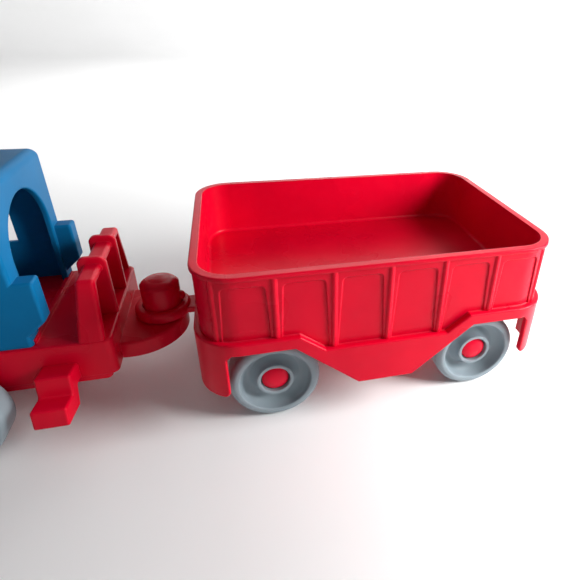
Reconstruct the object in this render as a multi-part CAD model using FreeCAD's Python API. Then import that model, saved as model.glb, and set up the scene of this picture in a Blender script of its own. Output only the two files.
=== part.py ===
"""Toy pulling engine with an open gondola wagon hitched behind it.

Millimetres, +Z up.  The origin is on the ground, in the middle of the coupled
pair: the engine is on the -X side and heads towards -X, the wagon is on the
+X side, and both are symmetric about the XZ plane.
"""
import FreeCAD, Part
import math
import os

V = FreeCAD.Vector
X_AXIS, Y_AXIS, Z_AXIS = V(1, 0, 0), V(0, 1, 0), V(0, 0, 1)

# ---------------------------------------------------------------- driving sizes
GAP = 0.4                     # free air between pieces that move past each other
WALL = 3.0                    # wall of the moulded shells

# wheel and axle set, the same on both vehicles
WHEEL_R = 25.5
WHEEL_W = 16.0
TRACK_FACE = 61.7             # outer face of each wheel, from the centre plane
AXLE_R = 2.0
AXLE_FIT = 0.05               # radial running clearance in wheels and bearings
CAP_R = 7.5
CAP_SEAT = 6.5                # depth of the recess that holds the cap
AXLE_INSET = 3.4              # axle's end below the wheel's outer face
CHEEK_OUT, CHEEK_IN, BASE_CHEEK_IN = 44.9, 38.0, 36.0   # bearing cheeks, from the centre

# screws and the bosses they bite into
SCREW_HEAD_R, SCREW_HEAD_T, SCREW_R = 2.8, 2.0, 1.5
SCREW_SLOT = 0.8
CLEARANCE_R, BOSS_R = 1.7, 4.0

# wagon, around its own centre
WAGON_X = 118.5               # wagon centre from the origin
RIM_HALF_L, RIM_HALF_W, RIM_Z = 100.0, 69.6, 99.5
RIM_T = 2.2                   # depth of the lip under the rim
LIP = 1.2                     # lip proud of the wall
CORNER_R = 20.5               # plan radius of the tub's wall
TUB_T = 3.4
FLOOR_Z, FLOOR_T = 63.5, 2.5
SILL_PROUD = 3.2              # sill band proud of the tub's wall
SILL_END_TOP, SILL_MID_TOP = 61.75, 51.5
SILL_END_LOW, SILL_MID_LOW = 54.65, 25.2
SILL_TOP_BREAKS = 34.8, 48.0  # where the sill's top slopes, from the centre
SILL_LOW_BREAKS = 16.0, 51.0
SEAT_DROP = 3.5               # tub wall ends this far below the sill's top
LEG_X, LEG_LOW, LEG_HALF_GAP = 86.0, 26.5, 46.0
LEG_CORNER_R = 4.0
END_BEAM_LOW = 43.0
RIB_PITCH, RIB_COUNT = 30.0, 7
RIB_FOOT, RIB_PROUD = 3.4, 1.0
PANEL_TOP, PANEL_DEPTH, FIELD_CHAMFER = 93.0, 0.9, 0.5
WHEEL_X = 61.7                # axles from the wagon's centre
PLATE_T = 3.0                 # plate that the tub sits on
FLOOR_SCREW_X, FLOOR_SCREW_Y = 28.0, 30.0

# hitch: a post on the engine inside a ring on the wagon's drawbar
HITCH_X = -5.3
POST_R, POST_TOP = 11.3, 65.8
SPIGOT_R, SPIGOT_DEEP, NUB_R = 5.0, 5.0, 3.0
RING_R, RING_LOW, RING_TOP = 16.4, 42.4, 48.5
TONGUE_HALF_W, TONGUE_TOP, TONGUE_END = 7.5, 46.6, 42.0
DRAW_SCREW_X = 27.0, 36.0

# engine
DECK_Z, DECK_LOW, DECK_HALF_W = 54.0, 32.0, 42.0
DECK_REAR, DECK_FRONT = -26.5, -206.0
PLATFORM_Z, PLATFORM_R, PLATFORM_X = 42.0, 30.0, -21.5
ENGINE_AXLES_X = (-103.5, -178.0)
BASE_LOW = 29.0
BASE_SCREW_X, BASE_SCREW_Y = (-52.0, -141.0), 25.0
COAMING_FRONT, COAMING_REAR, COAMING_HALF_W, COAMING_H = -65.2, -62.7, 37.0, 2.2
CAB_REAR, CAB_FRONT, CAB_TOP, CAB_HALF_W = -63.5, -119.5, 137.0, 40.0
DOOR_HALF_W, DOOR_TOP = 28.0, 124.0
WINDOW_X, WINDOW_HALF_W, WINDOW_SILL, WINDOW_TOP = -99.0, 11.5, 80.0, 122.0
WINDSCREEN_HALF_W, WINDSCREEN_SILL = 24.0, 108.0
WING_IN = 30.0                # wings behind the cab, side view: x from its rear, z
WING_SIDE = ((-2.9, 58.0), (0.0, 60.0), (9.0, 68.0), (9.0, 91.0), (-2.9, 91.0))
SEAT_SIDE = ((-108.0, 54.0), (-90.0, 54.0), (-88.0, 66.0), (-85.0, 84.0), (-89.0, 84.0),
             (-93.0, 70.0), (-108.0, 70.0))   # side view, x, z
SEAT_HALF_W = 20.0
HOOD_FRONT, HOOD_HALF_W, HOOD_TOP = -200.0, 29.0, 104.0
GRILLE_HALF_W, GRILLE_LOW, GRILLE_TOP, GRILLE_T = 20.0, 58.0, 82.0, 3.0
GRILLE_SLOTS, SLOT_PITCH, SLOT_HALF_W, SLOT_DEEP, SLOT_MARGIN = 5, 7.0, 2.0, 1.8, 3.5
LAMP_Y, LAMP_Z, LAMP_R, LAMP_STEM_R, LAMP_HOLE_R = 13.0, 92.0, 6.0, 2.4, 2.5
BUMPER_FRONT, BUMPER_HALF_W, BUMPER_LOW, BUMPER_TOP = -220.5, 46.0, 33.0, 49.0
BUNKER_REAR, BUNKER_FRONT, BUNKER_TOP, BUNKER_TAPER = -29.5, -42.5, 86.5, 8.0
BUNKER_WALL = 3.2
BUNKER_RIB_Y, BUNKER_RIB_T, HOOP_PROUD = 14.0, 3.4, 3.6
STACK_X, STACK_TOP, STACK_R, FLARE_R, STACK_BORE = -172.0, 130.0, 6.0, 8.0, 5.5
STACK_SPIGOT_R, STACK_HOLE_R = 3.9, 4.0
# boarding steps: end view (y, z) from the skirt outwards, and plan (x, y)
STEP_END_VIEW = ((42.0, 42.3), (52.4, 42.3), (53.8, 31.0), (63.6, 31.0), (65.0, 20.0),
                 (50.0, 20.8), (46.6, 32.0), (42.0, 32.0))
STEP_PLAN = ((-45.2, 42.0), (-48.3, 65.5), (-65.2, 65.5), (-62.3, 42.0))
STEP_ROUND = 1.3


# ---------------------------------------------------------------- shape helpers
def box(x0, x1, y0, y1, z0, z1):
    return Part.makeBox(x1 - x0, y1 - y0, z1 - z0, V(x0, y0, z0))


def rod(radius, start, end):
    """Round bar between two points."""
    run = end - start
    return Part.makeCylinder(radius, run.Length, start, run)


def plan_prism(half_x, half_y, radius, z0, z1, centre_x=0.0):
    """Upright prism with a rounded rectangle as its plan."""
    solid = box(centre_x - half_x, centre_x + half_x, -half_y, half_y, z0, z1)
    return solid.makeFillet(radius, edges_along(solid, Z_AXIS))


def edges_along(shape, direction):
    """Straight edges parallel to a direction."""
    found = []
    for edge in shape.Edges:
        if isinstance(edge.Curve, Part.Line):
            if abs(edge.tangentAt(edge.FirstParameter).dot(direction)) > 0.999:
                found.append(edge)
    return found


def on_plan(edge, half_x, half_y, radius, centre_x):
    """True if an edge lies on the side of a rounded-rectangle prism."""
    span = edge.LastParameter - edge.FirstParameter
    for step in range(5):
        point = edge.valueAt(edge.FirstParameter + span * step / 4)
        past_x = abs(point.x - centre_x) - (half_x - radius)
        past_y = abs(point.y) - (half_y - radius)
        if past_x > 0 and past_y > 0:
            reach = math.hypot(past_x, past_y)
        else:
            reach = max(past_x, past_y)
        if abs(reach - radius) > 0.02:
            return False
    return True


def sharp(shape, edges):
    """Edges where two faces meet at an angle."""
    found = []
    for edge in edges:
        middle = edge.valueAt((edge.FirstParameter + edge.LastParameter) / 2)
        faces = shape.ancestorsOfType(edge, Part.Face)
        normals = [face.normalAt(*face.Surface.parameter(middle)) for face in faces]
        if len(normals) == 2 and abs(normals[0].dot(normals[1])) < 0.999:
            found.append(edge)
    return found


def top_edges(solid):
    top = solid.BoundBox.ZMax
    return [edge for edge in solid.Edges if edge.BoundBox.ZMin > top - 0.05]


def outline_prism(points, start, sweep):
    """Closed polygon, swept along a vector; start shifts every point."""
    corners = [point + start for point in points]
    return Part.Face(Part.makePolygon(corners + corners[:1])).extrude(sweep)


def side_prism(profile, y0, y1):
    """Polygon drawn in the XZ plane, swept from y0 to y1."""
    points = [V(x, 0, z) for x, z in profile]
    return outline_prism(points, V(0, y0, 0), V(0, y1 - y0, 0))


def arch_prism_x(half_w, z0, top, x0, x1):
    """Round-headed opening seen along X."""
    spring = top - half_w
    body = box(x0, x1, -half_w, half_w, z0, spring)
    return body.fuse(rod(half_w, V(x0, 0, spring), V(x1, 0, spring)))


def arch_prism_y(centre_x, half_w, z0, top, y0, y1):
    """Round-headed opening seen along Y."""
    spring = top - half_w
    body = box(centre_x - half_w, centre_x + half_w, y0, y1, z0, spring)
    head = rod(half_w, V(centre_x, y0, spring), V(centre_x, y1, spring))
    return body.fuse(head)


def fuse_all(shapes):
    result = shapes[0]
    if len(shapes) > 1:
        result = result.multiFuse(shapes[1:])
    return result.removeSplitter()


def cut_all(shape, tools):
    return shape.cut(tools).removeSplitter()


def both_sides(shape):
    """A shape and its mirror image across the centre plane."""
    return [shape, shape.mirror(V(0, 0, 0), Y_AXIS)]


def four_ways(x, y):
    return [(sx * x, sy * y) for sx in (-1, 1) for sy in (-1, 1)]


def revolved(profile, axis_point, axis):
    """Solid of revolution of closed edges that lie in a plane with the axis."""
    face = Part.Face(Part.Wire(profile))
    return face.revolve(axis_point, axis, 360)


def polyline(points):
    return [Part.LineSegment(a, b).toShape() for a, b in zip(points, points[1:])]


def arc(start, middle, end):
    return Part.Arc(start, middle, end).toShape()


# ---------------------------------------------------------------- wheels, axles
def wheel(centre_x, side):
    """Dished wheel; side is -1 for the near (-Y) wheel and 1 for the far one."""
    def at(radius, depth):
        return V(centre_x + radius, side * (TRACK_FACE - depth), WHEEL_R)

    bore = AXLE_R + AXLE_FIT
    ring_in, boss_out, boss_in = 20.0, 10.4, CAP_R + 0.8
    inner_web, web_out = WHEEL_W - 4.0, WHEEL_R - 3.2
    profile = polyline([at(bore, CAP_SEAT), at(boss_in, CAP_SEAT), at(boss_in, 2.4)])
    profile += [arc(at(boss_in, 2.4), at(boss_in + 0.2, 1.9), at(boss_in + 0.7, 1.7))]
    profile += polyline([at(boss_in + 0.7, 1.7), at(boss_out - 0.6, 1.7)])
    profile += [arc(at(boss_out - 0.6, 1.7), at(boss_out - 0.1, 1.9), at(boss_out, 2.5))]
    profile += [arc(at(boss_out, 2.5), at(11.3, 6.2), at(14.2, 8.3))]
    profile += [arc(at(14.2, 8.3), at(17.9, 6.6), at(ring_in, 0.9))]
    profile += [arc(at(ring_in, 0.9), at(ring_in + 0.2, 0.3), at(ring_in + 0.8, 0))]
    profile += polyline([at(ring_in + 0.8, 0), at(22.2, 0)])
    profile += [arc(at(22.2, 0), at(24.4, 1.3), at(WHEEL_R, 4.2))]
    profile += polyline([at(WHEEL_R, 4.2), at(WHEEL_R, WHEEL_W - 0.8),
                         at(WHEEL_R - 0.8, WHEEL_W), at(web_out, WHEEL_W),
                         at(web_out - 0.6, inner_web), at(boss_in, inner_web),
                         at(boss_in - 0.3, WHEEL_W), at(bore, WHEEL_W),
                         at(bore, CAP_SEAT)])
    return revolved(profile, V(centre_x, 0, WHEEL_R), Y_AXIS)


def axle(centre_x):
    end = TRACK_FACE - AXLE_INSET
    return rod(AXLE_R, V(centre_x, -end, WHEEL_R), V(centre_x, end, WHEEL_R))


def axle_cap(centre_x, side):
    """Domed cap pressed on the axle's end, sunk in the wheel's boss."""
    def at(radius, depth):
        return V(centre_x + radius, side * (TRACK_FACE - depth), WHEEL_R)

    back, edge, crown = CAP_SEAT - 0.5, 3.6, 1.7
    flat = 0.6
    profile = polyline([at(AXLE_R, back), at(CAP_R - 0.5, back), at(CAP_R, back - 0.5),
                        at(CAP_R, edge)])
    profile += [arc(at(CAP_R, edge), at(CAP_R * 0.58, crown + 0.5), at(flat, crown))]
    profile += polyline([at(flat, crown), at(0, crown), at(0, AXLE_INSET),
                         at(AXLE_R, AXLE_INSET), at(AXLE_R, back)])
    return revolved(profile, V(centre_x, 0, WHEEL_R), Y_AXIS)


def cap_set(axle_positions):
    return Part.makeCompound([axle_cap(x, side) for x in axle_positions for side in (-1, 1)])


def pedestal(centre_x, side, top, y_in, y_out):
    """Bearing cheek that hangs down around an axle."""
    reach, foot = 15.0, 6.5
    y0, y1 = sorted((side * y_in, side * y_out))
    cheek = side_prism([(centre_x - reach, top), (centre_x + reach, top),
                        (centre_x + foot, WHEEL_R), (centre_x - foot, WHEEL_R)], y0, y1)
    nose = rod(foot, V(centre_x, y0, WHEEL_R), V(centre_x, y1, WHEEL_R))
    bore = rod(AXLE_R + AXLE_FIT, V(centre_x, y0, WHEEL_R), V(centre_x, y1, WHEEL_R))
    return cut_all(cheek.fuse(nose), [bore])


def screw(x, y, z, length):
    """Slotted screw driven upwards; z is the seat of its head."""
    half_slot, face = SCREW_SLOT / 2, z - SCREW_HEAD_T
    head = rod(SCREW_HEAD_R, V(x, y, face), V(x, y, z))
    slot = box(x - half_slot, x + half_slot, y - SCREW_HEAD_R, y + SCREW_HEAD_R,
               face - half_slot, face + half_slot)
    shank = rod(SCREW_R, V(x, y, z), V(x, y, z + length))
    return cut_all(head.fuse(shank), [slot])


# ---------------------------------------------------------------- wagon
def sill_line(drop, far=130.0, centre_x=WAGON_X):
    """Top edge of the sill in side view, lowered by drop, end to end."""
    near_x, far_x = SILL_TOP_BREAKS
    ends, middle = SILL_END_TOP - drop, SILL_MID_TOP - drop
    line = [(-far, ends), (-far_x, ends), (-near_x, middle),
            (near_x, middle), (far_x, ends), (far, ends)]
    return [(centre_x + x, z) for x, z in line]


def above_sill(drop):
    """Everything above the lowered sill line."""
    line = sill_line(drop)
    profile = line + [(line[-1][0], 200.0), (line[0][0], 200.0)]
    return side_prism(profile, -100.0, 100.0)


def tub_ring(inset, z0, z1):
    """Solid plan of the tub's wall, set in by inset."""
    return plan_prism(RIM_HALF_L - LIP - inset, RIM_HALF_W - LIP - inset,
                      CORNER_R - inset, z0, z1, WAGON_X)


def rib_places():
    """Distance along the long wall of each rib, from the wagon's centre."""
    middle = (RIB_COUNT - 1) / 2
    return [(index - middle) * RIB_PITCH for index in range(RIB_COUNT)]


def wall_rib(along, straight_half, wall_y, z0, z1):
    """Upright rib on the +Y wall; past the straight it stands on the corner."""
    overlap, half = 0.6, RIB_FOOT / 2
    section = polyline([V(-half, 0, 0), V(-half, -overlap, 0), V(half, -overlap, 0),
                        V(half, 0, 0)])
    section += [arc(V(half, 0, 0), V(0, RIB_PROUD, 0), V(-half, 0, 0))]
    rib = Part.Face(Part.Wire(section)).extrude(V(0, 0, z1 - z0))
    rib.translate(V(0, wall_y, z0))
    sign = 1 if along > 0 else -1
    past = abs(along) - straight_half
    if past <= 0:
        rib.translate(V(along, 0, 0))
        return rib
    lean = -sign * math.degrees(math.asin(past / CORNER_R))
    rib.rotate(V(0, wall_y - CORNER_R, 0), Z_AXIS, lean)
    rib.translate(V(sign * straight_half, 0, 0))
    return rib


def tub_ribs():
    wall_l, wall_w = RIM_HALF_L - LIP, RIM_HALF_W - LIP
    low, high = SILL_MID_TOP - SEAT_DROP, RIM_Z - 0.2
    ribs = []
    for along in rib_places():
        side = wall_rib(along, wall_l - CORNER_R, wall_w, low, high)
        side.translate(V(WAGON_X, 0, 0))
        ribs += both_sides(side)
    for along in (-RIB_PITCH, 0.0, RIB_PITCH):
        end = wall_rib(along, wall_w - CORNER_R, wall_l, low, high)
        for turn in (90, -90):
            turned = end.copy()
            turned.rotate(V(0, 0, 0), Z_AXIS, turn)
            turned.translate(V(WAGON_X, 0, 0))
            ribs.append(turned)
    return [rib.common(above_sill(0.0)) for rib in ribs]


def panel_recesses():
    """Shallow fields between the ribs of both long walls."""
    skin = tub_ring(-2.0, SILL_MID_TOP, PANEL_TOP)
    skin = skin.cut(tub_ring(PANEL_DEPTH, SILL_MID_TOP, PANEL_TOP))
    top_margin, foot_margin, round_r = 4.6, 2.6, 2.5
    fields = []
    for left in rib_places()[:-1]:
        x0, x1 = WAGON_X + left, WAGON_X + left + RIB_PITCH
        field = side_prism([(x0 + top_margin, PANEL_TOP), (x1 - top_margin, PANEL_TOP),
                            (x1 - foot_margin, SILL_MID_TOP),
                            (x0 + foot_margin, SILL_MID_TOP)], -90.0, 90.0)
        upper = [edge for edge in edges_along(field, Y_AXIS)
                 if edge.CenterOfMass.z > PANEL_TOP - 0.1]
        fields.append(field.makeFillet(round_r, upper))
    return skin.common(fuse_all(fields)).common(above_sill(0.0))


def floor_screw_places():
    return [(WAGON_X + x, y) for x, y in four_ways(FLOOR_SCREW_X, FLOOR_SCREW_Y)]


def wagon_tub():
    low = SILL_MID_TOP - SEAT_DROP
    wall = tub_ring(0.0, low, RIM_Z).cut(panel_recesses())
    field_edges = [edge for edge in wall.Edges
                   if edge.BoundBox.ZMin > SILL_MID_TOP - 0.1
                   and edge.BoundBox.ZMax < PANEL_TOP + 0.1
                   and on_plan(edge, RIM_HALF_L - LIP, RIM_HALF_W - LIP, CORNER_R, WAGON_X)]
    wall = wall.makeChamfer(FIELD_CHAMFER, sharp(wall, field_edges))
    lip = tub_ring(-LIP, RIM_Z - RIM_T, RIM_Z)
    lip = lip.makeFillet(0.8, top_edges(lip))
    shell = fuse_all([wall, lip] + tub_ribs())
    hold = tub_ring(TUB_T, FLOOR_Z, RIM_Z + 1.0)
    hold_edges = [edge for edge in hold.Edges if abs(edge.CenterOfMass.z - FLOOR_Z) < 0.01]
    hold = hold.makeFillet(2.5, hold_edges)
    below = tub_ring(TUB_T, low - 1.0, FLOOR_Z - FLOOR_T)
    shell = cut_all(shell, [hold, below])
    shell = shell.common(above_sill(SEAT_DROP))
    plate_top = SILL_END_TOP - SEAT_DROP
    bosses = [rod(BOSS_R, V(x, y, plate_top), V(x, y, FLOOR_Z - 1.0))
              for x, y in floor_screw_places()]
    holes = [rod(SCREW_R, V(x, y, plate_top - 1.0), V(x, y, FLOOR_Z - 1.3))
             for x, y in floor_screw_places()]
    return cut_all(fuse_all([shell] + bosses), holes)


def underframe_side_view():
    """Side view of the underframe: legs, wheel arches and fish-belly middle."""
    low_x, arch_x = SILL_LOW_BREAKS
    half = [(low_x, SILL_MID_LOW), (arch_x, SILL_END_LOW), (LEG_X - 2.0, SILL_END_LOW),
            (LEG_X, SILL_END_LOW - 2.0), (LEG_X, LEG_LOW), (130.0, LEG_LOW)]
    lower = [(-x, z) for x, z in reversed(half)] + half
    lower = [(WAGON_X + x, z) for x, z in lower]
    upper = list(reversed(sill_line(0.0)))
    side_view = side_prism(lower + upper, -100.0, 100.0)
    leg_corners = [edge for edge in edges_along(side_view, Y_AXIS)
                   if abs(abs(edge.CenterOfMass.x - WAGON_X) - LEG_X) < 0.01
                   and edge.CenterOfMass.z < LEG_LOW + 0.01]
    return side_view.makeFillet(LEG_CORNER_R, leg_corners)


def wagon_underframe():
    """Sill band with its legs, the plate under the tub, and the bearing cheeks."""
    plate_top = SILL_END_TOP - SEAT_DROP
    outer = tub_ring(-SILL_PROUD, SILL_MID_LOW, SILL_END_TOP)
    band = outer.cut(tub_ring(0.0, SILL_MID_LOW - 1.0, SILL_END_TOP + 1.0))
    inner = tub_ring(TUB_T + 0.2, SILL_MID_LOW - 1.0, SILL_END_TOP + 1.0)
    shelf = outer.cut(inner).cut(above_sill(SEAT_DROP))
    shelf = shelf.common(above_sill(SEAT_DROP + PLATE_T))
    skirt = band.fuse(shelf).common(underframe_side_view()).removeSplitter()
    under_beams = box(WAGON_X - 120, WAGON_X + 120, -LEG_HALF_GAP, LEG_HALF_GAP,
                      0, END_BEAM_LOW)
    skirt = skirt.cut(under_beams)
    plate = tub_ring(TUB_T + 0.2, plate_top - PLATE_T, plate_top)
    cheek_top = plate_top - PLATE_T + 0.5
    cheeks = [pedestal(WAGON_X + x, side, cheek_top, CHEEK_IN, CHEEK_OUT)
              for x, side in four_ways(WHEEL_X, 1)]
    tongue_bosses = [rod(BOSS_R, V(x, 0, TONGUE_TOP), V(x, 0, plate_top - 1.0))
                     for x in DRAW_SCREW_X]
    frame = fuse_all([skirt, plate] + cheeks + tongue_bosses)
    holes = [rod(CLEARANCE_R, V(x, y, 40), V(x, y, 70)) for x, y in floor_screw_places()]
    holes += [rod(SCREW_R, V(x, 0, TONGUE_TOP - 1), V(x, 0, TONGUE_TOP + 8.4))
              for x in DRAW_SCREW_X]
    end_x = WAGON_X - (RIM_HALF_L - LIP + SILL_PROUD)
    tongue_slot = box(end_x - 1, end_x + 12, -TONGUE_HALF_W - 0.2, TONGUE_HALF_W + 0.2,
                      END_BEAM_LOW - 1, TONGUE_TOP + 0.2)
    frame = cut_all(frame, holes + [tongue_slot])
    face_edges = [edge for edge in frame.Edges
                  if edge.Length > 3.0
                  and on_plan(edge, RIM_HALF_L - LIP + SILL_PROUD,
                              RIM_HALF_W - LIP + SILL_PROUD, CORNER_R + SILL_PROUD, WAGON_X)]
    return frame.makeFillet(1.0, sharp(frame, face_edges))


def wagon_drawbar():
    """Ring and tongue; the tongue runs through the front beam and is screwed from below."""
    ring = rod(RING_R, V(HITCH_X, 0, RING_LOW), V(HITCH_X, 0, RING_TOP))
    upper = [edge for edge in ring.Edges if edge.BoundBox.ZMin > RING_TOP - 0.1]
    lower = [edge for edge in ring.Edges if edge.BoundBox.ZMax < RING_LOW + 0.1]
    ring = ring.makeFillet(2.4, upper).makeFillet(1.0, lower)
    tongue = box(HITCH_X + POST_R, TONGUE_END, -TONGUE_HALF_W, TONGUE_HALF_W,
                 RING_LOW + 0.3, TONGUE_TOP)
    tongue = tongue.makeFillet(4.0, [edge for edge in edges_along(tongue, Z_AXIS)
                                     if edge.CenterOfMass.x > TONGUE_END - 1])
    tongue = tongue.makeFillet(0.8, edges_along(tongue, X_AXIS))
    eye = rod(POST_R + GAP, V(HITCH_X, 0, 0), V(HITCH_X, 0, 90))
    holes = [rod(CLEARANCE_R, V(x, 0, RING_LOW - 1), V(x, 0, TONGUE_TOP + 1))
             for x in DRAW_SCREW_X]
    return cut_all(fuse_all([ring, tongue]), [eye] + holes)


def drawbar_screws():
    return Part.makeCompound([screw(x, 0, RING_LOW + 0.3, 11.5) for x in DRAW_SCREW_X])


def wagon_floor_screws():
    head_seat = SILL_END_TOP - SEAT_DROP - PLATE_T
    return Part.makeCompound([screw(x, y, head_seat, 6.5)
                              for x, y in floor_screw_places()])


# ---------------------------------------------------------------- engine
def base_screw_places():
    return [(x, y) for x in BASE_SCREW_X for y in (-BASE_SCREW_Y, BASE_SCREW_Y)]


def engine_chassis():
    """Hollow deck with its skirts and the round rear platform."""
    deck = box(DECK_FRONT, DECK_REAR, -DECK_HALF_W, DECK_HALF_W, DECK_LOW, DECK_Z)
    deck = deck.makeFillet(4.0, edges_along(deck, Z_AXIS))
    deck = deck.makeFillet(1.2, top_edges(deck))
    inside = box(DECK_FRONT + WALL, DECK_REAR - WALL, -DECK_HALF_W + WALL,
                 DECK_HALF_W - WALL, DECK_LOW - 1, DECK_Z - WALL)
    disc = rod(PLATFORM_R, V(PLATFORM_X, 0, DECK_LOW), V(PLATFORM_X, 0, PLATFORM_Z))
    disc = disc.makeFillet(1.5, top_edges(disc))
    disc = disc.common(box(DECK_REAR - WALL, 40, -50, 50, DECK_LOW, PLATFORM_Z))
    under_disc = rod(PLATFORM_R - WALL, V(PLATFORM_X, 0, DECK_LOW - 1),
                     V(PLATFORM_X, 0, PLATFORM_Z - WALL))
    under_disc = under_disc.common(box(DECK_REAR, 40, -50, 50, 0, 60))
    coaming = box(COAMING_FRONT, COAMING_REAR, -COAMING_HALF_W, COAMING_HALF_W,
                  DECK_Z - 0.5, DECK_Z + COAMING_H)
    bosses = [rod(BOSS_R, V(x, y, DECK_LOW), V(x, y, DECK_Z - 1))
              for x, y in base_screw_places()]
    shell = cut_all(fuse_all([deck, disc]), [inside, under_disc])
    holes = [rod(SCREW_R, V(x, y, DECK_LOW - 1), V(x, y, DECK_LOW + 12))
             for x, y in base_screw_places()]
    socket = rod(SPIGOT_R, V(HITCH_X, 0, 0), V(HITCH_X, 0, 60))
    return cut_all(fuse_all([shell, coaming] + bosses), holes + [socket])


def hitch_post():
    """Round post with a domed head, a snap nub and a spigot in the platform."""
    def at(radius, z):
        return V(HITCH_X + radius, 0, z)

    shoulder, flat, foot = POST_TOP - 4.0, 0.8, PLATFORM_Z - SPIGOT_DEEP
    profile = polyline([at(0, foot), at(SPIGOT_R, foot), at(SPIGOT_R, PLATFORM_Z),
                        at(POST_R, PLATFORM_Z), at(POST_R, shoulder)])
    profile += [arc(at(POST_R, shoulder), at(POST_R - 1.9, shoulder + 2.0),
                    at(POST_R - 5.5, shoulder + 3.2))]
    profile += [arc(at(POST_R - 5.5, shoulder + 3.2), at(3.6, POST_TOP - 0.2),
                    at(flat, POST_TOP))]
    profile += polyline([at(flat, POST_TOP), at(0, POST_TOP), at(0, foot)])
    post = revolved(profile, V(HITCH_X, 0, 0), Z_AXIS)
    nub = Part.makeSphere(NUB_R, V(HITCH_X + POST_R - 0.3, 0, RING_TOP + GAP + NUB_R))
    return fuse_all([post, nub])


def rear_bunker():
    """Tapered hump across the deck, two hoop ribs over it, three pockets behind."""
    half, top_half = DECK_HALF_W, DECK_HALF_W - BUNKER_TAPER
    end_view = [V(0, -half, DECK_Z), V(0, half, DECK_Z),
                V(0, top_half, BUNKER_TOP), V(0, -top_half, BUNKER_TOP)]
    depth = BUNKER_REAR - BUNKER_FRONT
    hump = outline_prism(end_view, V(BUNKER_FRONT, 0, 0), V(depth, 0, 0))
    side_view = [(BUNKER_FRONT, DECK_Z), (BUNKER_REAR, DECK_Z),
                 (BUNKER_REAR, BUNKER_TOP), (BUNKER_FRONT + 4.0, BUNKER_TOP)]
    hump = hump.common(side_prism(side_view, -60, 60))
    upper = [edge for edge in hump.Edges if edge.BoundBox.ZMax > DECK_Z + 1]
    hump = hump.makeFillet(2.0, upper)
    hoop_top = BUNKER_TOP + HOOP_PROUD
    hoops = []
    for y in (-BUNKER_RIB_Y, BUNKER_RIB_Y):
        hoop = side_prism([(BUNKER_FRONT - 0.5, DECK_Z), (BUNKER_REAR + 2.5, DECK_Z),
                           (BUNKER_REAR + 2.5, hoop_top), (BUNKER_FRONT + 1.0, hoop_top)],
                          y - BUNKER_RIB_T / 2, y + BUNKER_RIB_T / 2)
        corners = [edge for edge in edges_along(hoop, Y_AXIS)
                   if edge.CenterOfMass.z > hoop_top - 0.01]
        hoop = hoop.makeFillet(4.0, corners)
        rims = [edge for edge in sharp(hoop, hoop.Edges)
                if edge.BoundBox.ZMax > DECK_Z + 1]
        hoops.append(hoop.makeFillet(0.8, rims))
    bays = [(-half + BUNKER_WALL, -BUNKER_RIB_Y - BUNKER_RIB_T / 2, -1),
            (-BUNKER_RIB_Y + BUNKER_RIB_T / 2, BUNKER_RIB_Y - BUNKER_RIB_T / 2, 0),
            (BUNKER_RIB_Y + BUNKER_RIB_T / 2, half - BUNKER_WALL, 1)]
    roof = BUNKER_TOP - BUNKER_WALL
    pockets = []
    for y0, y1, side in bays:
        lean0 = BUNKER_TAPER if side < 0 else 0.0
        lean1 = BUNKER_TAPER if side > 0 else 0.0
        rear_view = [V(0, y0, DECK_Z - 1), V(0, y1, DECK_Z - 1),
                     V(0, y1 - lean1, roof), V(0, y0 + lean0, roof)]
        pocket = outline_prism(rear_view, V(BUNKER_FRONT + BUNKER_WALL, 0, 0), V(20, 0, 0))
        pocket_top = [edge for edge in edges_along(pocket, X_AXIS)
                      if edge.CenterOfMass.z > roof - 0.1]
        pockets.append(pocket.makeFillet(1.5, pocket_top))
    return cut_all(fuse_all([hump] + hoops), pockets)


def boarding_steps(side):
    """Two steps down from the deck, moulded as one stair; side is -1 or 1."""
    x0, x1 = min(STEP_PLAN)[0], max(STEP_PLAN)[0]
    ends = [V(0, side * y, z) for y, z in STEP_END_VIEW]
    stair = outline_prism(ends, V(x0, 0, 0), V(x1 - x0, 0, 0))
    plan = [V(x, side * y, 0) for x, y in STEP_PLAN]
    stair = stair.common(outline_prism(plan, V(0, 0, 0), V(0, 0, DECK_Z)))
    rounded = [edge for edge in sharp(stair, stair.Edges)
               if max(abs(edge.BoundBox.YMin), abs(edge.BoundBox.YMax)) > DECK_HALF_W + 1]
    return stair.makeFillet(STEP_ROUND, rounded)


def engine_base_plate():
    """Cover under the deck, with the cheeks that carry both axles."""
    plate = box(DECK_FRONT + 4, DECK_REAR - 4, -DECK_HALF_W, DECK_HALF_W,
                BASE_LOW, DECK_LOW)
    plate = plate.makeFillet(3.0, edges_along(plate, Z_AXIS))
    cheeks = [pedestal(x, side, DECK_LOW - 0.5, BASE_CHEEK_IN, CHEEK_OUT)
              for x in ENGINE_AXLES_X for side in (-1, 1)]
    outer_cheeks = fuse_all(cheeks).common(box(-300, 0, -60, 60, 0, BASE_LOW + 0.5))
    holes = [rod(CLEARANCE_R, V(x, y, 0), V(x, y, 60)) for x, y in base_screw_places()]
    bores = [rod(AXLE_R + AXLE_FIT, V(x, -60, WHEEL_R), V(x, 60, WHEEL_R))
             for x in ENGINE_AXLES_X]
    return cut_all(fuse_all([plate, outer_cheeks]), holes + bores)


def engine_base_screws():
    return Part.makeCompound([screw(x, y, BASE_LOW, 11.0)
                              for x, y in base_screw_places()])


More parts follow.
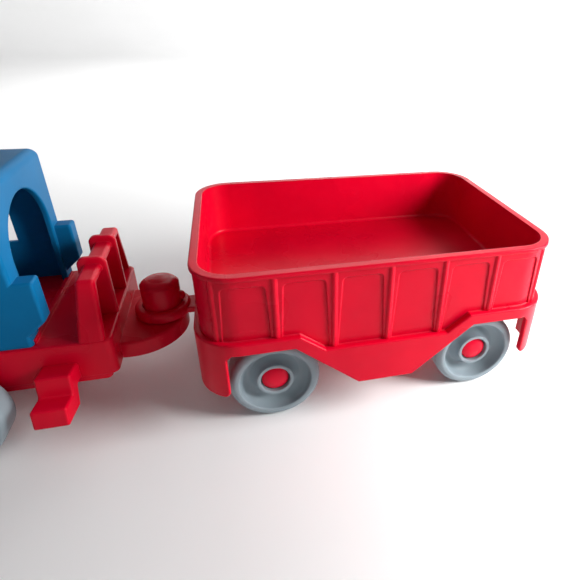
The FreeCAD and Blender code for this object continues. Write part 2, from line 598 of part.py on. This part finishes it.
def engine_cab():
    """Blue shell with a round-headed rear door, side and front windows, wings."""
    outer = box(CAB_FRONT, CAB_REAR, -CAB_HALF_W, CAB_HALF_W, DECK_Z, CAB_TOP)
    outer = outer.makeFillet(2.0, edges_along(outer, Z_AXIS))
    outer = outer.makeFillet(5.0, sharp(outer, top_edges(outer)))
    inner = box(CAB_FRONT + WALL, CAB_REAR - WALL, -CAB_HALF_W + WALL,
                CAB_HALF_W - WALL, DECK_Z - 1, CAB_TOP - WALL)
    inner = inner.makeFillet(2.5, top_edges(inner))
    door = arch_prism_x(DOOR_HALF_W, DECK_Z - 1, DOOR_TOP, CAB_REAR - 6, CAB_REAR + 2)
    window = arch_prism_y(WINDOW_X, WINDOW_HALF_W, WINDOW_SILL, WINDOW_TOP, -60, 60)
    windscreen = box(CAB_FRONT - 2, CAB_FRONT + 6, -WINDSCREEN_HALF_W, WINDSCREEN_HALF_W,
                     WINDSCREEN_SILL, DOOR_TOP)
    windscreen = windscreen.makeFillet(5.0, edges_along(windscreen, X_AXIS))
    shell = cut_all(outer, [inner, door, window, windscreen])
    on_rear = [edge for edge in shell.Edges if edge.BoundBox.XMin > CAB_REAR - 0.01
               and abs(edge.CenterOfMass.y) < DOOR_HALF_W + 0.1
               and edge.BoundBox.ZMax > DECK_Z + 1]
    on_sides = [edge for edge in shell.Edges
                if min(abs(edge.BoundBox.YMin), abs(edge.BoundBox.YMax)) > CAB_HALF_W - 0.01
                and edge.BoundBox.ZMin > DECK_Z + 20
                and edge.BoundBox.XMin > CAB_FRONT + 8 and edge.BoundBox.XMax < CAB_REAR - 8]
    shell = shell.makeFillet(1.0, sharp(shell, on_rear + on_sides))
    wing = side_prism([(CAB_REAR + x, z) for x, z in WING_SIDE], WING_IN, CAB_HALF_W)
    wing_edges = [edge for edge in wing.Edges
                  if edge.BoundBox.XMax > CAB_REAR + WING_SIDE[2][0] - 0.1
                  and edge.BoundBox.ZMax > WING_SIDE[2][1] - 1]
    wing = wing.makeFillet(1.5, wing_edges)
    slack = 0.2
    coaming_slot = box(COAMING_FRONT - slack, COAMING_REAR + slack, -COAMING_HALF_W - slack,
                       COAMING_HALF_W + slack, DECK_Z - 1, DECK_Z + COAMING_H + slack)
    return cut_all(fuse_all([shell] + both_sides(wing)), [coaming_slot])


def engine_hood():
    """Hollow round-topped hood in front of the cab."""
    spring = HOOD_TOP - HOOD_HALF_W

    def tunnel(half, low, x0, x1):
        body = box(x0, x1, -half, half, low, spring)
        return body.fuse(rod(half, V(x0, 0, spring), V(x1, 0, spring))).removeSplitter()

    outer = tunnel(HOOD_HALF_W, DECK_Z, HOOD_FRONT, CAB_FRONT)
    inner = tunnel(HOOD_HALF_W - WALL, DECK_Z - 1, HOOD_FRONT + WALL, CAB_FRONT - WALL)
    outer = outer.common(box(HOOD_FRONT, CAB_FRONT, -40, 40, DECK_Z, HOOD_TOP))
    inner = inner.common(box(HOOD_FRONT, CAB_FRONT, -40, 40, DECK_Z - 1, HOOD_TOP))
    chimney_hole = rod(STACK_HOLE_R, V(STACK_X, 0, HOOD_TOP - 8), V(STACK_X, 0, HOOD_TOP + 4))
    lamp_holes = [rod(LAMP_HOLE_R, V(HOOD_FRONT - 1, y, LAMP_Z), V(HOOD_FRONT + 4, y, LAMP_Z))
                  for y in (-LAMP_Y, LAMP_Y)]
    return cut_all(outer, [inner, chimney_hole] + lamp_holes)


def radiator_grille():
    """Frame and upright bars on the hood's nose."""
    x0, x1 = HOOD_FRONT - GRILLE_T, HOOD_FRONT
    frame = box(x0, x1, -GRILLE_HALF_W, GRILLE_HALF_W, GRILLE_LOW, GRILLE_TOP)
    frame = frame.makeFillet(3.0, edges_along(frame, X_AXIS))
    slots = []
    for index in range(GRILLE_SLOTS):
        y = (index - (GRILLE_SLOTS - 1) / 2) * SLOT_PITCH
        slot = box(x0 - 1, x0 + SLOT_DEEP, y - SLOT_HALF_W, y + SLOT_HALF_W,
                   GRILLE_LOW + SLOT_MARGIN, GRILLE_TOP - SLOT_MARGIN)
        slots.append(slot.makeFillet(1.5, edges_along(slot, X_AXIS)))
    return cut_all(frame, slots)


def headlights():
    """Two domed lamps, each with a stem in the hood's nose."""
    lamps = []
    for y in (-LAMP_Y, LAMP_Y):
        bezel = rod(LAMP_R, V(HOOD_FRONT - 3, y, LAMP_Z), V(HOOD_FRONT, y, LAMP_Z))
        front = [edge for edge in bezel.Edges if edge.BoundBox.XMax < HOOD_FRONT - 2.9]
        stem = rod(LAMP_STEM_R, V(HOOD_FRONT, y, LAMP_Z), V(HOOD_FRONT + 2.5, y, LAMP_Z))
        lamps.append(fuse_all([bezel.makeFillet(2.0, front), stem]))
    return Part.makeCompound(lamps)


def exhaust_stack():
    """Stack with a flared collar, pressed into the hood's roof."""
    def at(radius, z):
        return V(STACK_X + radius, 0, z)

    foot = HOOD_TOP + 0.2
    spigot, bore_floor = HOOD_TOP - 6, STACK_TOP - 8
    profile = polyline([at(0, spigot), at(STACK_SPIGOT_R, spigot), at(STACK_SPIGOT_R, foot),
                        at(FLARE_R, foot), at(FLARE_R, foot + 2.5), at(STACK_R, foot + 5),
                        at(STACK_R, STACK_TOP - 7), at(FLARE_R, STACK_TOP - 3),
                        at(FLARE_R, STACK_TOP), at(STACK_BORE, STACK_TOP),
                        at(STACK_BORE, bore_floor), at(0, bore_floor), at(0, spigot)])
    return revolved(profile, V(STACK_X, 0, 0), Z_AXIS)


def front_bumper():
    bar = box(BUMPER_FRONT, DECK_FRONT, -BUMPER_HALF_W, BUMPER_HALF_W, BUMPER_LOW,
              BUMPER_TOP)
    front = [edge for edge in bar.Edges if edge.BoundBox.XMax < BUMPER_FRONT + 0.01]
    return bar.makeFillet(4.0, front)


def driver_seat():
    """Bench with a low back, standing on the deck inside the cab."""
    seat = side_prism(SEAT_SIDE, -SEAT_HALF_W, SEAT_HALF_W)
    return seat.makeFillet(1.2, edges_along(seat, Y_AXIS))


# ---------------------------------------------------------------- nodes
def all_parts():
    parts = {
        "wagon_tub": wagon_tub(),
        "wagon_underframe": wagon_underframe(),
        "wagon_drawbar": wagon_drawbar(),
        "drawbar_screws": drawbar_screws(),
        "wagon_floor_screws": wagon_floor_screws(),
        "wagon_axle_front": axle(WAGON_X - WHEEL_X),
        "wagon_axle_rear": axle(WAGON_X + WHEEL_X),
        "wagon_axle_caps": cap_set((WAGON_X - WHEEL_X, WAGON_X + WHEEL_X)),
        "engine_chassis": engine_chassis(),
        "engine_base_plate": engine_base_plate(),
        "engine_base_screws": engine_base_screws(),
        "hitch_post": hitch_post(),
        "rear_bunker": rear_bunker(),
        "boarding_steps_near": boarding_steps(-1),
        "boarding_steps_far": boarding_steps(1),
        "engine_cab": engine_cab(),
        "engine_hood": engine_hood(),
        "radiator_grille": radiator_grille(),
        "headlights": headlights(),
        "exhaust_stack": exhaust_stack(),
        "front_bumper": front_bumper(),
        "driver_seat": driver_seat(),
        "engine_axle_rear": axle(ENGINE_AXLES_X[0]),
        "engine_axle_front": axle(ENGINE_AXLES_X[1]),
        "engine_axle_caps": cap_set(ENGINE_AXLES_X),
    }
    stations = {
        "wagon_wheel_front": WAGON_X - WHEEL_X,
        "wagon_wheel_rear": WAGON_X + WHEEL_X,
        "engine_wheel_rear": ENGINE_AXLES_X[0],
        "engine_wheel_front": ENGINE_AXLES_X[1],
    }
    for name, centre_x in stations.items():
        parts[name + "_near"] = wheel(centre_x, -1)
        parts[name + "_far"] = wheel(centre_x, 1)
    return parts


os.makedirs("parts", exist_ok=True)
for node, shape in all_parts().items():
    shape.exportStep("parts/" + node + ".step")
    size = shape.BoundBox
    print(f"{node:24s} solids {len(shape.Solids)} valid {shape.isValid()}"
          f" volume {shape.Volume / 1000:8.2f} cm3"
          f"  x {size.XMin:7.1f} {size.XMax:7.1f}  y {size.YMin:6.1f} {size.YMax:6.1f}"
          f"  z {size.ZMin:6.1f} {size.ZMax:6.1f}")
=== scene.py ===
"""Looks for the toy engine and wagon: finishes, floor, lights and camera."""

import math

import bpy
from mathutils import Matrix, Vector


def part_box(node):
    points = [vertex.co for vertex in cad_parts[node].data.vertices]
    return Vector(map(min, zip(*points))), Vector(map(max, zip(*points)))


MM = 0.001

# Moulded plastics: linear base colour, paler colour (for haze, and for edges that are part
# wear, part painted highlight), roughness.
RED = ((0.640, 0.0004, 0.0200), (0.820, 0.060, 0.110), 0.27)
BLUE = ((0.004, 0.150, 0.350), (0.060, 0.330, 0.600), 0.34)
WHEEL_GREY = ((0.270, 0.330, 0.365), (0.480, 0.540, 0.570), 0.34)
CAP_RED = ((0.720, 0.0010, 0.0280), (0.850, 0.080, 0.130), 0.26)
LAMP_YELLOW = ((0.800, 0.560, 0.060), (0.920, 0.780, 0.330), 0.18)
TRIM_GREY = ((0.110, 0.125, 0.140), (0.270, 0.290, 0.310), 0.40)
EDGE_RADIUS = 0.7 * MM
SHINE, BLUE_SHINE = 0.14, 0.05

# Textures of the plastics: waves per metre, and heights.
BROAD_SCALE, CLOUD_SCALE = 22.0, 120.0
SINK_SCALE, SINK_HEIGHT, SINK_STRENGTH = 42.0, 0.8 * MM, 0.25
GRAIN_SCALE, GRAIN_HEIGHT = 2400.0, 0.08 * MM

# Drawn steel: colours, and lines across the bar.
STEEL, STAINED_STEEL = (0.58, 0.58, 0.57), (0.42, 0.41, 0.39)
LINE_SCALE, LINE_HEIGHT, LINE_STRENGTH, LINE_STRETCH = 2200.0, 0.03 * MM, 0.3, 0.06
STAIN_SCALE = 160.0

# Floor: flat disc, then a sweep up into a wall, in metres.
FLOOR_RADIUS, SWEEP_RADIUS, SWEEP_STEPS, FLOOR_SPOKES = 2.2, 0.9, 12, 72
FLOOR_DARK, FLOOR_PALE, FLOOR_SCALE = (0.90, 0.90, 0.90), (0.93, 0.93, 0.93), 3.0

# Lights: azimuth, elevation, distance, size, power; and where they aim, from the wagon.
KEY_LIGHT, KEY_AIM = (58.0, 27.0, 0.37, 0.22, 3.1), Vector((0.04, 0.0, 0.0))
BACK_LIGHT = (165.0, 36.0, 1.5, 1.2, 6.0)
WALL_LIGHT, WALL_AIM = (14.0, 30.0, 1.9, 2.4, 60.0), Vector((0.6, 2.5, 0.0))
SKY_STRENGTH = 0.17

# Camera, measured from the middle of the wagon.
AZIMUTH, ELEVATION, ROLL = 15.02, 28.49, 1.71
CAMERA_DISTANCE = 0.3107
AIM_OFFSET = Vector((-0.0030, 0.0, 0.0008))
SENSOR, LENS = 36.0, 29.03
SHIFT_X, SHIFT_Y = -0.1069, -0.0483


class Graph:
    """Node tree of one material, with a short call for each kind of node."""

    def __init__(self, name):
        self.material = bpy.data.materials.new(name)
        self.material.use_nodes = True
        self.tree = self.material.node_tree
        self.tree.nodes.clear()

    def add(self, kind, settings=None, **inputs):
        """Inputs go by name, with _ for a space, or by number as i0, i1 and so on."""
        node = self.tree.nodes.new("ShaderNode" + kind)
        for key, value in (settings or {}).items():
            setattr(node, key, value)
        for key, value in inputs.items():
            socket = node.inputs[int(key[1:]) if key[1:].isdigit() else key.replace("_", " ")]
            if isinstance(value, bpy.types.NodeSocket):
                self.tree.links.new(value, socket)
            else:
                socket.default_value = value
        return node

    def noise(self, coords, scale, detail=2.0, rough=0.5):
        return self.add("TexNoise", Vector=coords, Scale=scale, Detail=detail,
                        Roughness=rough).outputs[0]

    def span(self, value, low, high, to_low=0.0, to_high=1.0):
        return self.add("MapRange", Value=value, From_Min=low, From_Max=high,
                        To_Min=to_low, To_Max=to_high).outputs[0]

    def math(self, operation, a, b=0.0):
        return self.add("Math", {"operation": operation}, i0=a, i1=b).outputs[0]

    def mix(self, factor, a, b):
        return self.add("Mix", {"data_type": "RGBA"}, i0=factor, i6=a, i7=b).outputs[2]


def rgba(colour, gain=1.0):
    return (*(min(1.0, c * gain) for c in colour), 1.0)


def edge_mask(graph, radius):
    """Mask that is 1 on edges and 0 on open faces, and the rounded normal."""
    rounded = graph.add("Bevel", {"samples": 6}, Radius=radius).outputs[0]
    true_normal = graph.add("NewGeometry").outputs["Normal"]
    dot = graph.add("VectorMath", {"operation": "DOT_PRODUCT"}, i0=rounded,
                    i1=true_normal).outputs["Value"]
    return graph.span(dot, 0.995, 0.90), rounded


def moulded_plastic(name, finish, grain=0.16, shine=SHINE):
    """Plastic with uneven colour and gloss, pale edges that are partly wear and partly a
    painted highlight, slight sinks and a fine grain.
    """
    base, pale_colour, roughness = finish
    graph = Graph(name)
    coords = graph.add("TexCoord").outputs["Object"]
    broad = graph.noise(coords, BROAD_SCALE, 3.0)
    cloud = graph.noise(coords, CLOUD_SCALE, 4.0, 0.6)
    edges, rounded = edge_mask(graph, EDGE_RADIUS)

    colour = graph.mix(graph.span(broad, 0.3, 0.7), rgba(base, 0.88), rgba(base, 1.08))
    haze = graph.span(cloud, 0.5, 0.8, 0.0, 0.03)
    colour = graph.mix(haze, colour, rgba(pale_colour))
    # Pale edges: partly wear, partly a painted highlight standing in for the glints on rounded
    # edges.
    edge_wear_and_highlight = graph.math("MULTIPLY", edges, graph.span(cloud, 0.35, 0.65, 0.08, 0.35))
    colour = graph.mix(edge_wear_and_highlight, colour, rgba(pale_colour))

    gloss = graph.span(broad, 0.2, 0.8, roughness - 0.03, roughness + 0.06)

    sinks = graph.add("Bump", i0=SINK_STRENGTH, i1=SINK_HEIGHT,
                      Height=graph.noise(coords, SINK_SCALE, 1.0), Normal=rounded).outputs[0]
    fine = graph.add("Bump", i0=grain, i1=GRAIN_HEIGHT,
                     Height=graph.noise(coords, GRAIN_SCALE, 3.0), Normal=sinks).outputs[0]
    shader = graph.add("BsdfPrincipled", Base_Color=colour, Roughness=gloss, Normal=fine,
                       IOR=1.49, Specular_IOR_Level=shine)
    graph.add("OutputMaterial", Surface=shader.outputs[0])
    return graph.material


def drawn_steel(name):
    """Bar steel with fine drawing lines and faint stains."""
    graph = Graph(name)
    coords = graph.add("TexCoord").outputs["Object"]
    stretch = graph.add("VectorMath", {"operation": "MULTIPLY"}, i0=coords,
                        i1=(1.0, LINE_STRETCH, 1.0)).outputs[0]
    lines = graph.noise(stretch, LINE_SCALE, 3.0)
    stain = graph.noise(coords, STAIN_SCALE, 3.0)
    colour = graph.mix(graph.span(stain, 0.4, 0.7), rgba(STEEL), rgba(STAINED_STEEL))
    gloss = graph.span(lines, 0.3, 0.7, 0.22, 0.42)
    bump = graph.add("Bump", i0=LINE_STRENGTH, i1=LINE_HEIGHT, Height=lines).outputs[0]
    shader = graph.add("BsdfPrincipled", Base_Color=colour, Roughness=gloss, Normal=bump,
                       Metallic=1.0)
    graph.add("OutputMaterial", Surface=shader.outputs[0])
    return graph.material


def finish_nodes(frame):
    """Puts a finish in every material slot of the CAD nodes."""
    finishes = {
        "red_plastic": moulded_plastic("red_moulded", RED),
        "blue_plastic": moulded_plastic("blue_moulded", BLUE, shine=BLUE_SHINE),
        "wheel_plastic": moulded_plastic("grey_moulded", WHEEL_GREY, 0.22),
        "cap_plastic": moulded_plastic("cap_moulded", CAP_RED, 0.10),
        "lamp_plastic": moulded_plastic("lamp_moulded", LAMP_YELLOW, 0.08),
        "trim_plastic": moulded_plastic("trim_moulded", TRIM_GREY, 0.22),
        "axle_steel": drawn_steel("axle_drawn"),
        "screw_steel": drawn_steel("screw_drawn"),
    }
    for node in frame["nodes"].values():
        for slot in node.material_slots:
            slot.material = finishes[slot.material.name.split(".")[0]]


def pale_floor(low):
    """Round studio floor that sweeps up into a low wall on every side."""
    profile = [(FLOOR_RADIUS, 0.0)]
    for step in range(1, SWEEP_STEPS + 1):
        angle = math.pi / 2 * step / SWEEP_STEPS
        profile.append((FLOOR_RADIUS + SWEEP_RADIUS * math.sin(angle),
                        SWEEP_RADIUS * (1 - math.cos(angle))))
    profile.append((FLOOR_RADIUS + SWEEP_RADIUS, 2 * SWEEP_RADIUS))
    points = [(0.0, 0.0, low)]
    for radius, height in profile:
        for spoke in range(FLOOR_SPOKES):
            turn = 2 * math.pi * spoke / FLOOR_SPOKES
            points.append((radius * math.cos(turn), radius * math.sin(turn), low + height))
    faces = [(0, 1 + i, 1 + (i + 1) % FLOOR_SPOKES) for i in range(FLOOR_SPOKES)]
    for ring in range(len(profile) - 1):
        start = 1 + ring * FLOOR_SPOKES
        above = start + FLOOR_SPOKES
        for i in range(FLOOR_SPOKES):
            j = (i + 1) % FLOOR_SPOKES
            faces.append((start + i, above + i, above + j, start + j))
    mesh = bpy.data.meshes.new("floor")
    mesh.from_pydata(points, [], faces)
    mesh.polygons.foreach_set("use_smooth", [True] * len(mesh.polygons))
    floor = bpy.data.objects.new("floor", mesh)
    bpy.context.scene.collection.objects.link(floor)
    graph = Graph("pale_floor")
    coords = graph.add("TexCoord").outputs["Object"]
    tone = graph.span(graph.noise(coords, FLOOR_SCALE, 3.0), 0.3, 0.7)
    colour = graph.mix(tone, rgba(FLOOR_DARK), rgba(FLOOR_PALE))
    shader = graph.add("BsdfPrincipled", Base_Color=colour, Roughness=0.9,
                       Specular_IOR_Level=0.1)
    graph.add("OutputMaterial", Surface=shader.outputs[0])
    floor.data.materials.append(graph.material)


def area_light(name, target, azimuth, elevation, distance, size, power):
    """Round light that faces its target; azimuth 0 is in front (-Y), 90 at the right (+X)."""
    a, e = math.radians(azimuth), math.radians(elevation)
    offset = Vector((math.sin(a) * math.cos(e), -math.cos(a) * math.cos(e), math.sin(e)))
    data = bpy.data.lights.new(name, "AREA")
    data.shape = "DISK"
    data.size, data.energy = size, power
    lamp = bpy.data.objects.new(name, data)
    lamp.location = target + offset * distance
    lamp.rotation_euler = offset.to_track_quat("Z", "Y").to_euler()
    bpy.context.scene.collection.objects.link(lamp)


def studio(wagon_middle):
    """Even sky, a near key light from the right, a back light and a light on the wall."""
    world = bpy.data.worlds.new("studio")
    bpy.context.scene.world = world
    world.use_nodes = True
    background = world.node_tree.nodes["Background"]
    background.inputs["Color"].default_value = (1.0, 1.0, 1.0, 1.0)
    background.inputs["Strength"].default_value = SKY_STRENGTH
    area_light("key", wagon_middle + KEY_AIM, *KEY_LIGHT)
    area_light("back", wagon_middle, *BACK_LIGHT)
    area_light("backdrop", wagon_middle + WALL_AIM, *WALL_LIGHT)


def main_camera(wagon_middle):
    """Camera that looks down on the wagon from its front left."""
    azimuth, elevation, roll = (math.radians(v) for v in (AZIMUTH, ELEVATION, ROLL))
    forward = Vector((math.sin(azimuth) * math.cos(elevation),
                      math.cos(azimuth) * math.cos(elevation), -math.sin(elevation)))
    level_right = Vector((math.cos(azimuth), -math.sin(azimuth), 0.0))
    right = Matrix.Rotation(-roll, 3, forward) @ level_right
    up = right.cross(forward)
    turn = Matrix((right, up, -forward)).transposed()
    data = bpy.data.cameras.new("camera")
    data.sensor_width, data.lens = SENSOR, LENS
    data.shift_x, data.shift_y = SHIFT_X, SHIFT_Y
    data.clip_start = 0.01
    camera = bpy.data.objects.new("camera", data)
    place = wagon_middle + AIM_OFFSET - forward * CAMERA_DISTANCE
    camera.matrix_world = Matrix.Translation(place) @ turn.to_4x4()
    bpy.context.scene.collection.objects.link(camera)
    bpy.context.scene.camera = camera


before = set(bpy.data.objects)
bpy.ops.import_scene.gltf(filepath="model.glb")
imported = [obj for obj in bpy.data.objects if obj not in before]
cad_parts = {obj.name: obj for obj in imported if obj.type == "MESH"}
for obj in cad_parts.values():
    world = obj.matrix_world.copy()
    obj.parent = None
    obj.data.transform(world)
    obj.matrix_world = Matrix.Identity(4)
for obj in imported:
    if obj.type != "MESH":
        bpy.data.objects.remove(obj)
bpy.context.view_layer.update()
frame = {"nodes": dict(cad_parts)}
finish_nodes(frame)
low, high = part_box("wagon_tub")
wheel_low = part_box("wagon_wheel_front_near")[0]
axle_z = (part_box("wagon_axle_front")[0].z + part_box("wagon_axle_front")[1].z) / 2
wagon_middle = Vector(((low.x + high.x) / 2, 0.0, (high.z + axle_z) / 2))
pale_floor(wheel_low.z)
studio(wagon_middle)
main_camera(wagon_middle)
bpy.context.scene.view_settings.view_transform = "Standard"
